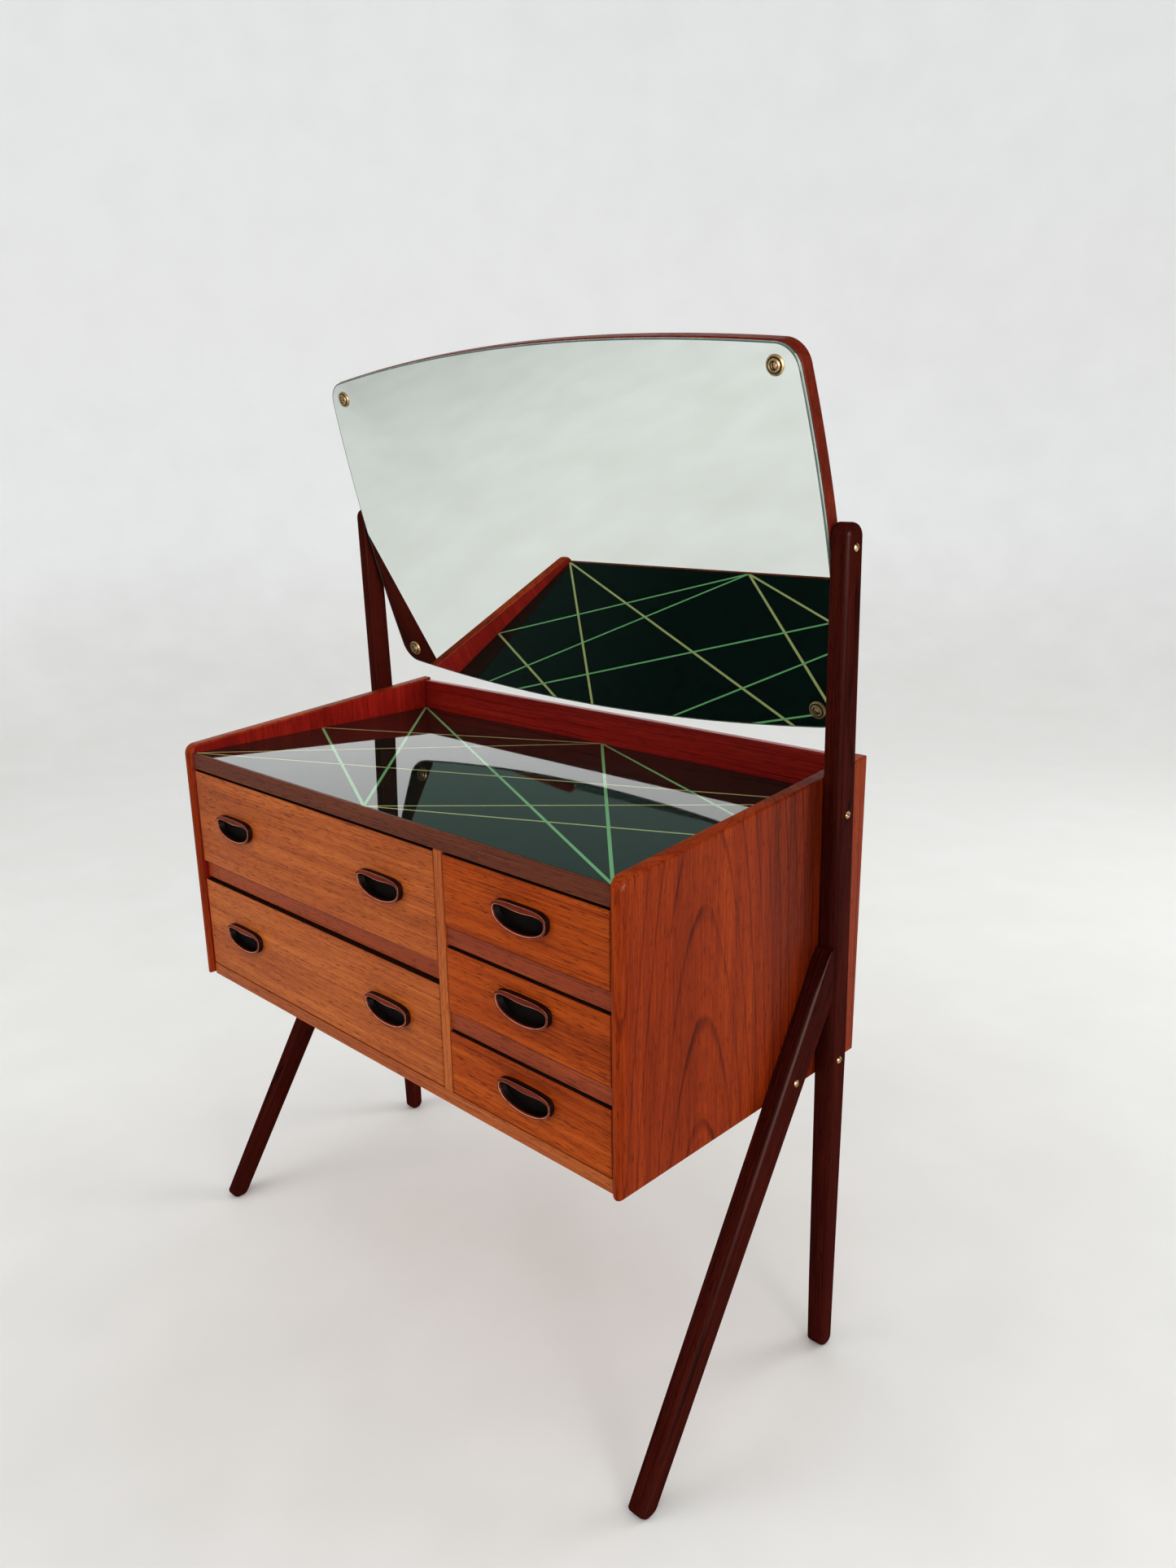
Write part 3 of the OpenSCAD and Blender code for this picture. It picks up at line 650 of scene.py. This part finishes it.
def drawer_front(drawer, pulls):
    """A drawer's front with its recesses; its top edge is painted darker than its face, as painted shade from the
    gap above it.
    """
    node = f"{drawer}_front"
    lo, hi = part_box(node)
    outline = rectangle(lo.x, lo.z, hi.x, hi.z, 0.8 * MM)
    holes = [pull_hole(pull) for pull in pulls]
    material = "narrow_front" if drawer.startswith("narrow") else "front"
    # the top faces take the dark edge teak: painted shade
    stand_in(node, plate(outline, "y", lo.y, hi.y, 1.1 * MM, 3, holes, RECESS_DEPTH), material, "edge",
             pick=lambda f: int(f.normal.z > 0.9))


for drawer, pull_names in DRAWERS.items():
    pulls = [f"{drawer}_{name}" for name in pull_names]
    for pull in pulls:
        make_pull(pull)
    drawer_front(drawer, pulls)
    board(f"{drawer}_left_side", "drawer_side", 0.8 * MM, "y")
    board(f"{drawer}_right_side", "drawer_side", 0.8 * MM, "y")
    board(f"{drawer}_back", "drawer_back", 0.8 * MM)
    board(f"{drawer}_bottom", "plywood", 0.8 * MM, "z")


# ---------------------------------------------------------------- posts and legs

# Seen from the side, in millimetres: distances back from the side panels' front edge, and heights
POST_FOOT_FRONT, POST_FOOT_BACK, POST_FOOT_ROUND = 344, 365.5, 9
POST_SHIN = (341, 100)
POST_BEND_FRONT, POST_BEND_BACK, POST_BEND_UP = 333.5, 366, 407
POST_TOP_MIDDLE, POST_TOP_ROUND = 334.5, 14
POST_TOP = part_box("right_post")[1].z / MM
LEG_FOOT_FRONT, LEG_FOOT_ROUND = 4, 9.5
LEG_HEEL_ROUND, LEG_HEEL_BACK = 10, 6
LEG_HEAD_BACK, LEG_HEAD_TOP, LEG_HEAD_END = (331.75, 481), (330.3, 545), (325.5, 543.5)
LEG_HEAD_FRONT, LEG_SHOULDER = (319.6, 536), (298.2, 500)
# Roundings of the edges: at the front, at the back, the most there is on the inner side, and at the sole
FRONT_ROUND, BACK_ROUND, INNER_ROUND, SOLE_ROUND = 10.5, 2.2, 2.5, 4


def side_y(v):
    """A place measured back from the side panels' front edge, in millimetres, as a y in the frame."""
    return FRONT_OF_SIDES + v * MM


def graded(points, start, end):
    """Adds an arris radius, in millimetres, that changes evenly along the points."""
    return [(*p, radius) for p, radius in zip(points, evenly(start, end, len(points)))]


def foot_front(front, radius):
    """A foot's rounded front corner, from the front down to the sole."""
    return graded(arc(front + radius, radius, radius, 180, 270, 8), FRONT_ROUND, SOLE_ROUND)


def post_points():
    """A post's outline from the side, as (back, up, arris): a slim foot, a slight bend and a round top."""
    heel = arc(POST_FOOT_BACK - POST_FOOT_ROUND, POST_FOOT_ROUND, POST_FOOT_ROUND, -90, 0, 8)
    top = arc(POST_TOP_MIDDLE, POST_TOP - POST_TOP_ROUND, POST_TOP_ROUND, 0, 180, 20)
    return (graded(heel, SOLE_ROUND, BACK_ROUND) + [(POST_BEND_BACK, POST_BEND_UP, BACK_ROUND)]
            + graded(top, BACK_ROUND + 1, FRONT_ROUND)
            + [(POST_BEND_FRONT, POST_BEND_UP, FRONT_ROUND), (*POST_SHIN, FRONT_ROUND)]
            + foot_front(POST_FOOT_FRONT, POST_FOOT_ROUND))


def leg_points():
    """A front leg's outline from the side, as (back, up, arris): it leans back to the cabinet's side."""
    heel = arc(LEG_FOOT_FRONT + LEG_FOOT_ROUND + LEG_HEEL_BACK, LEG_HEEL_ROUND, LEG_HEEL_ROUND, -90, -30, 6)
    return (graded(heel, SOLE_ROUND, BACK_ROUND)
            + [(*LEG_HEAD_BACK, BACK_ROUND), (*LEG_HEAD_TOP, 1.5), (*LEG_HEAD_END, 1.5),
               (*LEG_HEAD_FRONT, 2.5), (*LEG_SHOULDER, FRONT_ROUND)]
            + foot_front(LEG_FOOT_FRONT, LEG_FOOT_ROUND))


def upright(node, points, material):
    """A post or leg; the long edges on its inner side are less rounded."""
    lo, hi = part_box(node)
    outline = [(side_y(v), up * MM) for v, up, _ in points]
    outer = [r * MM for *_, r in points]
    inner = [min(r, INNER_ROUND) * MM for *_, r in points]
    low, high = (inner, outer) if node.startswith("right") else (outer, inner)
    stand_in(node, plate(outline, "x", lo.x, hi.x, low, 7, crisp=24, far_radius=high), material, sharp=20)


for hand in ("left", "right"):
    upright(f"{hand}_post", post_points(), "post")
    upright(f"{hand}_front_leg", leg_points(), "leg")


# ---------------------------------------------------------------- mirror

# On the mirror the pivot is the origin, x runs across, z up the glass and y backwards
ON_MIRROR = Matrix.Translation(PIVOT) @ Matrix.Rotation(MIRROR_TILT, 4, "X")
BOARD_HALF = (398.5 * MM, 232.4 * MM)
BOARD_BACK, BOARD_THICK, GLASS_THICK, REVEAL = 8 * MM, 18 * MM, 4 * MM, 1 * MM
BOARD_FRONT = BOARD_BACK - BOARD_THICK
GLASS_FRONT = BOARD_FRONT - GLASS_THICK
GLASS_GAP = 0.02 * MM  # between glass and board
GLASS_RIM = 1.0 * MM  # bare glass between the silvering and the bevel
SIDE_SWEEP, TOP_SWEEP, MIRROR_CORNER = 1.8, 2.85, 30 * MM  # radii of the outline's arcs
ROSETTE = (360 * MM, 186.5 * MM)
# Each rosette's side and height, and the turn of its screw's slot in degrees
ROSETTES = ((-1, -1, 12), (-1, 1, 80), (1, -1, 55), (1, 1, 5))
# A rosette's section, as (radius, height) in mm: a flat rim, a groove and a rounded boss
ROSETTE_PROFILE = ((1.6, 0.0), (10.5, 0.0), (10.5, 0.6), (10.1, 1.4), (9.3, 1.9), (8.5, 1.7), (7.9, 1.0),
                   (7.5, 1.1), (7.1, 2.2), (6.3, 3.2), (5.4, 3.5), (4.7, 3.1), (4.4, 2.35), (1.6, 2.3))
# A rosette is tarnished in its groove, between two radii, and round the screw, out to a third
GROOVE_FROM, GROOVE_TO, SEAT_TO = 7.2 * MM, 8.6 * MM, 4.6 * MM


def screen(half_width, half_height):
    """The mirror's outline about its middle: four flat arcs with rounded corners."""
    c1, r1 = Vector((0, half_height - TOP_SWEEP)), TOP_SWEEP - MIRROR_CORNER
    c2, r2 = Vector((half_width - SIDE_SWEEP, 0)), SIDE_SWEEP - MIRROR_CORNER
    # the corner's centre p is where circles of radius r1 about c1 and r2 about c2 cross
    d = (c2 - c1).length
    a = (r1 * r1 - r2 * r2 + d * d) / (2 * d)
    h = math.sqrt(r1 * r1 - a * a)
    e = (c2 - c1) / d
    p = c1 + e * a + Vector((e.y, -e.x)) * h
    side_end = math.degrees(math.atan2(p.y, p.x - c2.x))
    top_end = math.degrees(math.atan2(p.y - c1.y, p.x))
    quarter = (arc(c2.x, 0, SIDE_SWEEP, 0, side_end, 10)
               + arc(p.x, p.y, MIRROR_CORNER, side_end, top_end, 16)[1:]
               + arc(0, c1.y, TOP_SWEEP, top_end, 90, 16)[1:])
    left = [(-x, y) for x, y in reversed(quarter[:-1])]
    upper = quarter + left
    lower = [(x, -y) for x, y in reversed(upper[1:-1])]
    return upper + lower


def glass_part(face):
    """0 for the mirror's two faces, 1 for the bare rim and the bevels, 2 for the edge between the bevels."""
    if len(face.verts) > 4:
        return 0
    return 1 if abs(face.normal.dot(ON_MIRROR.col[1].xyz)) > 0.15 else 2


def mirror_glass():
    """The silvered glass, inset so that a rim of bare glass runs round its front."""
    outline = screen(BOARD_HALF[0] - REVEAL, BOARD_HALF[1] - REVEAL)
    glass = plate(outline, "y", GLASS_FRONT, BOARD_FRONT - GLASS_GAP, 0.8 * MM, 3)
    glass.normal_update()
    silvering = min((f for f in glass.faces if len(f.verts) > 4), key=lambda f: f.calc_center_median().y)
    bmesh.ops.inset_individual(glass, faces=[silvering], thickness=GLASS_RIM)
    stand_in("mirror_glass", glass, "mirror", "glass_edge", "glass_side", matrix=ON_MIRROR, pick=glass_part)


def rosettes():
    """The four turned brass rosettes, tarnished in the groove and round the screw."""
    whole = bmesh.new()
    for side, height, _ in ROSETTES:
        one = bmesh.new()
        profile = [(r * MM, h * MM) for r, h in ROSETTE_PROFILE]
        rings = [[one.verts.new(p) for p in ring] for ring in turned(profile, 40)]
        bridge(one, rings, closed=True)
        for face in one.faces:
            radius = face.calc_center_median().xy.length
            face.material_index = int(GROOVE_FROM < radius < GROOVE_TO or radius < SEAT_TO)
        one.transform(Matrix.Translation((side * ROSETTE[0], GLASS_FRONT, height * ROSETTE[1]))
                      @ Matrix.Rotation(math.pi / 2, 4, "X"))
        join(whole, one)
    stand_in("mirror_rosettes", whole, "brass", "tarnish", matrix=ON_MIRROR)


stand_in("mirror_board", plate(screen(*BOARD_HALF), "y", BOARD_FRONT, BOARD_BACK, 2.5 * MM, 5),
         "mirror_board", matrix=ON_MIRROR)
mirror_glass()
rosettes()


# ---------------------------------------------------------------- screws and washers

SLOT_WIDTH = 1.1 * MM
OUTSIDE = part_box("right_post")[1].x  # the outer faces of posts and legs, from the middle
PIVOT_HEAD_GAP = 0.35 * MM  # between a pivot screw's head and the post's outer face
# Screws in the posts' and legs' outer faces: mm back, mm up and the turn of the slot in degrees
POST_SCREWS = ((345, 699, 62), (352.5, 399, 25))
LEG_SCREW = (264, 406, 120)
PIVOT_SCREW = (336, 985.7, 30)


def slotted_dome(radius, height, turn, stem_radius, stem_length):
    """A screw's domed head about Z with a slot across it, on a stem that goes down from the seat."""
    whole = bmesh.new()
    ball = (radius * radius + height * height) / (2 * height)
    slopes = [math.asin(radius / ball) * k / 6 for k in range(6, 0, -1)]
    cap = [(ball * math.sin(a), height - ball * (1 - math.cos(a))) for a in slopes]
    skirt = (radius, -0.1 * MM)
    for sign in (-1, 1):
        half = loft(turned([skirt] + cap, 36))
        cut = bmesh.ops.bisect_plane(half, geom=half.verts[:] + half.edges[:] + half.faces[:],
                                     plane_co=(sign * SLOT_WIDTH / 2, 0, 0), plane_no=(-sign, 0, 0),
                                     clear_outer=True)
        edges = [e for e in cut["geom_cut"] if isinstance(e, bmesh.types.BMEdge)]
        for face in bmesh.ops.holes_fill(half, edges=edges)["faces"]:
            face.material_index = 1
        join(whole, half)
    length = radius * 0.96
    floor = plate(rectangle(-SLOT_WIDTH, -length, SLOT_WIDTH, length), "z", 0, height * 0.3, 0, 1)
    for face in floor.faces:
        face.material_index = 1
    join(whole, floor)
    join(whole, plate(circle(0, 0, stem_radius, 16), "z", -stem_length, 0.05 * MM, 0, 1))
    whole.transform(Matrix.Rotation(turn, 4, "Z"))
    return whole


def screws(node, places, stem_radius, stem_length, radius=4.3 * MM, height=2 * MM, matrix=None):
    """Every screw of a CAD node. places: where a head sits, the way it points, its slot's turn in degrees."""
    whole = bmesh.new()
    for seat, way, turn in places:
        one = slotted_dome(radius, height, math.radians(turn), stem_radius, stem_length)
        one.transform(Matrix.Translation(seat) @ Vector(way).to_track_quat("Z", "Y").to_matrix().to_4x4())
        join(whole, one)
    # the slots take the near-black recess material: painted shade
    stand_in(node, whole, "brass", "recess", matrix=matrix, sharp=30)


def on_posts(back, up, turn, seat=OUTSIDE):
    """Both screws of a pair on the outer faces of posts or legs."""
    return [((side * seat, side_y(back), up * MM), (side, 0, 0), turn) for side in (-1, 1)]


def washers():
    """The washers between the posts and the mirror board."""
    whole = bmesh.new()
    for lo, hi in boxes_in("pivot_washers"):
        centre, radius = (lo + hi) / 2, (hi.z - lo.z) / 2
        join(whole, plate(circle(centre.y, centre.z, radius, 32), "x", lo.x, hi.x, 0.2 * MM, 2))
    stand_in("pivot_washers", whole, "brass")


screws("post_screws", on_posts(*POST_SCREWS[0]) + on_posts(*POST_SCREWS[1]), 1.9 * MM, 30 * MM)
screws("leg_screws", on_posts(*LEG_SCREW), 1.9 * MM, 30 * MM)
screws("pivot_screws", on_posts(*PIVOT_SCREW, OUTSIDE + PIVOT_HEAD_GAP), 2.5 * MM, 40 * MM)
screws("mirror_screws", [((side * ROSETTE[0], GLASS_FRONT - 2.4 * MM, height * ROSETTE[1]), (0, -1, 0), turn)
                         for side, height, turn in ROSETTES],
       1.5 * MM, 12 * MM, 4 * MM, 1.7 * MM, ON_MIRROR)
washers()


# ---------------------------------------------------------------- stage, light and camera

FLOOR_RADIUS, WALL_CURVE, WALL_TOP = 3.2, 1.8, 4.5
WALL_FROM, WALL_TO = 78, 207  # the part of the circle that has a wall, in degrees from +X
FLOOR_TONES = ((217, 216, 212), (222, 221, 218))
WALL_TONES = ((231, 231, 230), (234, 234, 233))


def studio_paint():
    """Pale paint with faint patches, a little lighter on the wall than on the floor."""
    paint = Shader("studio_paint", Specular_IOR_Level=0.2)
    x, y, z = paint.coords()
    patches = paint.noise(paint.vector(x, y, z), scale=5, detail=3)
    floor, wall = (paint.ramp(patches, [(0.3, linear(dark)), (0.7, linear(light))])
                   for dark, light in (FLOOR_TONES, WALL_TONES))
    paint.finish(paint.mix(paint.level(z, 0.0, 0.9), floor, wall), paint.level(patches, 0.3, 0.7, 0.55, 0.7))
    # where the wall behind the object is mirrored, it glows brighter: painted light, seen only in reflections
    glossy = paint.node("LightPath").outputs["Is Glossy Ray"]
    behind = paint.math("MULTIPLY", paint.level(y, 0.6, 1.4), glossy)
    paint.feed(paint.bsdf.inputs["Emission Color"], (1, 1, 1, 1))
    paint.feed(paint.bsdf.inputs["Emission Strength"], paint.math("MULTIPLY", behind, 0.7))
    return paint.material


def stage_surface():
    """A pale floor that turns up into a wall behind the object and beside it; open towards the front."""
    slopes = [math.pi / 2 * i / 12 for i in range(1, 13)]
    curve = [(FLOOR_RADIUS + WALL_CURVE * math.sin(a), WALL_CURVE - WALL_CURVE * math.cos(a)) for a in slopes]
    profile = [(1.5, 0.0), (FLOOR_RADIUS, 0.0)] + curve + [(FLOOR_RADIUS + WALL_CURVE, WALL_TOP)]
    bm = bmesh.new()
    n = 96
    has_wall = [WALL_FROM <= 360 * i / n <= WALL_TO for i in range(n)]
    rings = [[bm.verts.new((x, y, z if wall else 0.0)) for (x, y, z), wall in zip(ring, has_wall)]
             for ring in turned(profile, n)]
    bridge(bm, rings)
    bm.faces.new(rings[0])
    bmesh.ops.remove_doubles(bm, verts=bm.verts, dist=1e-5)
    bmesh.ops.recalc_face_normals(bm, faces=bm.faces)
    for f in bm.faces:
        f.smooth = True
    mesh = bpy.data.meshes.new("studio")
    bm.to_mesh(mesh)
    bm.free()
    mesh.materials.append(studio_paint())
    obj = bpy.data.objects.new("studio", mesh)
    bpy.context.scene.collection.objects.link(obj)


def area_light(name, at, towards, size, power, colour=(1, 1, 1), glossy=False, diffuse=True):
    """A round lamp. glossy says whether it is mirrored, diffuse whether it lights dull surfaces."""
    data = bpy.data.lights.new(name, "AREA")
    data.shape = "DISK"
    data.size = size
    data.energy = power
    data.color = colour
    obj = bpy.data.objects.new(name, data)
    bpy.context.scene.collection.objects.link(obj)
    obj.location = at
    obj.rotation_euler = (Vector(towards) - Vector(at)).to_track_quat("-Z", "Y").to_euler()
    obj.visible_glossy = glossy
    obj.visible_diffuse = diffuse


def room_light():
    """Soft light from all round. Where the room is mirrored it is dim, darkest high up and to the right."""
    world = bpy.data.worlds.new("room")
    world.use_nodes = True
    room = Nodes(world.node_tree)
    way = room.node("SeparateXYZ", {0: room.node("TexCoord").outputs["Generated"]}).outputs
    low_down = room.node("MapRange", {0: way[2], 1: 0.0, 2: 0.32, 3: 0.34, 4: 0.02}).outputs[0]
    to_the_left = room.node("MapRange", {0: way[0], 1: -0.85, 2: -0.6, 3: 0.2, 4: 0.0}).outputs[0]
    seen = room.math("MAXIMUM", low_down, to_the_left)
    mirrored = room.node("Background", {"Color": (0.78, 1.0, 0.92, 1), "Strength": seen})
    soft = room.tree.nodes["Background"]
    room.feed(soft.inputs["Color"], (0.93, 0.95, 0.97, 1))
    room.feed(soft.inputs["Strength"], 0.86)
    glossy = room.node("LightPath").outputs["Is Glossy Ray"]
    either = room.node("MixShader", {0: glossy, 1: soft.outputs[0], 2: mirrored.outputs[0]})
    room.feed(room.tree.nodes["World Output"].inputs[0], either.outputs[0])
    bpy.context.scene.world = world


def place_camera():
    """The camera, where it stood for the photograph."""
    camera = bpy.data.objects.new("camera", bpy.data.cameras.new("camera"))
    bpy.context.scene.collection.objects.link(camera)
    bpy.context.scene.camera = camera
    level = math.cos(CAMERA_PITCH)
    forward = Vector((-math.sin(CAMERA_YAW) * level, math.cos(CAMERA_YAW) * level, -math.sin(CAMERA_PITCH)))
    right = Vector((math.cos(CAMERA_YAW), math.sin(CAMERA_YAW), 0))
    up = right.cross(forward)
    c, s = math.cos(CAMERA_ROLL), math.sin(CAMERA_ROLL)
    axes = Matrix((c * right + s * up, c * up - s * right, -forward)).transposed()
    camera.matrix_world = Matrix.Translation(CAMERA_AT) @ axes.to_4x4()
    camera.data.sensor_width = 36
    camera.data.lens = CAMERA_LENS


stage_surface()
area_light("key", (-1.6, -2.6, 2.6), (0, 0, 0.6), 2.6, 26, (1.0, 0.99, 0.97))
area_light("side", (1.6, 2.7, 1.9), (0.3, 0, 0.5), 1.4, 24)
area_light("top", (0.0, 0.2, 4.2), (0, 0, 0), 3.4, 5)
area_light("window", (3.0, -1.0, 1.4), (0.4, 0, 0.7), 0.8, 11, glossy=True)
area_light("gleam", (2.8, -1.3, 1.3), (0.4, 0, 0.6), 1.1, 240, (1.0, 0.8, 0.72), glossy=True, diffuse=False)
room_light()
bpy.context.scene.view_settings.view_transform = "Standard"
bpy.context.scene.view_settings.look = "Medium High Contrast"
place_camera()
